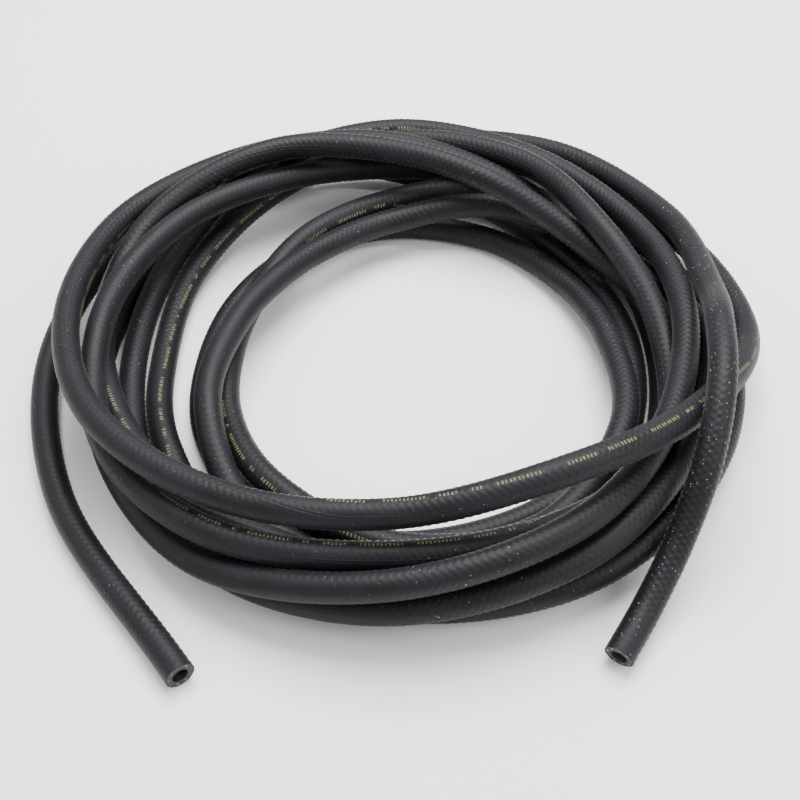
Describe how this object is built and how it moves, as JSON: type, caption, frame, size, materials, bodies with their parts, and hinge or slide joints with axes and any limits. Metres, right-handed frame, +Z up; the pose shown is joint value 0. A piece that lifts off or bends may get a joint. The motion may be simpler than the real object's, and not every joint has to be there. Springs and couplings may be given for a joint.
{
  "type": "fuel hose",
  "caption": "Loose coil of black rubber fuel hose with a round bore, cut square and bare at both ends.",
  "frame": {"origin": "on the floor, under the middle of the space that the coil and its two tails cover", "axes": "+Z up from the floor that the coil lies on; the two cut ends lie at the front, towards -Y, one on each side of X; +X towards the end that comes down off the top of the coil"},
  "size_m": [0.3217, 0.3343, 0.0654],
  "materials": {
    "hose_rubber": "matt, slightly sheened, with the braid showing faintly through the cover"
  },
  "bodies": {
    "root": {"fuel_hose": "hose_rubber"}
  },
  "joints": []
}
